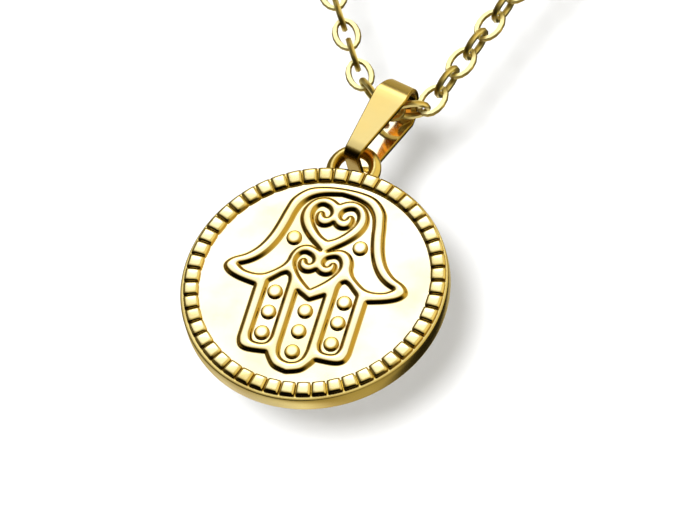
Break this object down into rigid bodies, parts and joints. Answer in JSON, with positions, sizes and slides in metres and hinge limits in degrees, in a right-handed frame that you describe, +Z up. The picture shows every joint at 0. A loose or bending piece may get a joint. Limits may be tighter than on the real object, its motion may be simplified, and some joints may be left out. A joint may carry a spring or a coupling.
{
  "type": "hamsa necklace",
  "caption": "Round medallion with a raised hamsa hand and a block rim, hung from a tapered bail on a flat-link cable chain with a clasp.",
  "frame": {"origin": "middle of the loop's highest point, on the chain's centre line at the nape", "axes": "+Z up, with the necklace hanging in the XZ plane; the medallion's relief faces -Y; +X to the viewer's right"},
  "size_m": [0.1166, 0.0046, 0.2175],
  "materials": {
    "gold": "polished",
    "pale_gold": "polished"
  },
  "bodies": {
    "chain": {"chain": "pale_gold", "clasp": "pale_gold", "jump_ring": "pale_gold"},
    "bail": {"bail": "gold"},
    "medallion": {"medallion": "gold"}
  },
  "joints": [
    {"name": "bail_swing", "type": "hinge", "parent": "chain", "child": "bail", "pos_m": [0.00189, 0, -0.1817], "axis": [0.9613, 0, -0.2756], "range_deg": [-35, 35]},
    {"name": "medallion_swing", "type": "hinge", "parent": "bail", "child": "medallion", "pos_m": [0, 0, -0.187], "axis": [1, 0, 0], "range_deg": [-20, 20]}
  ]
}
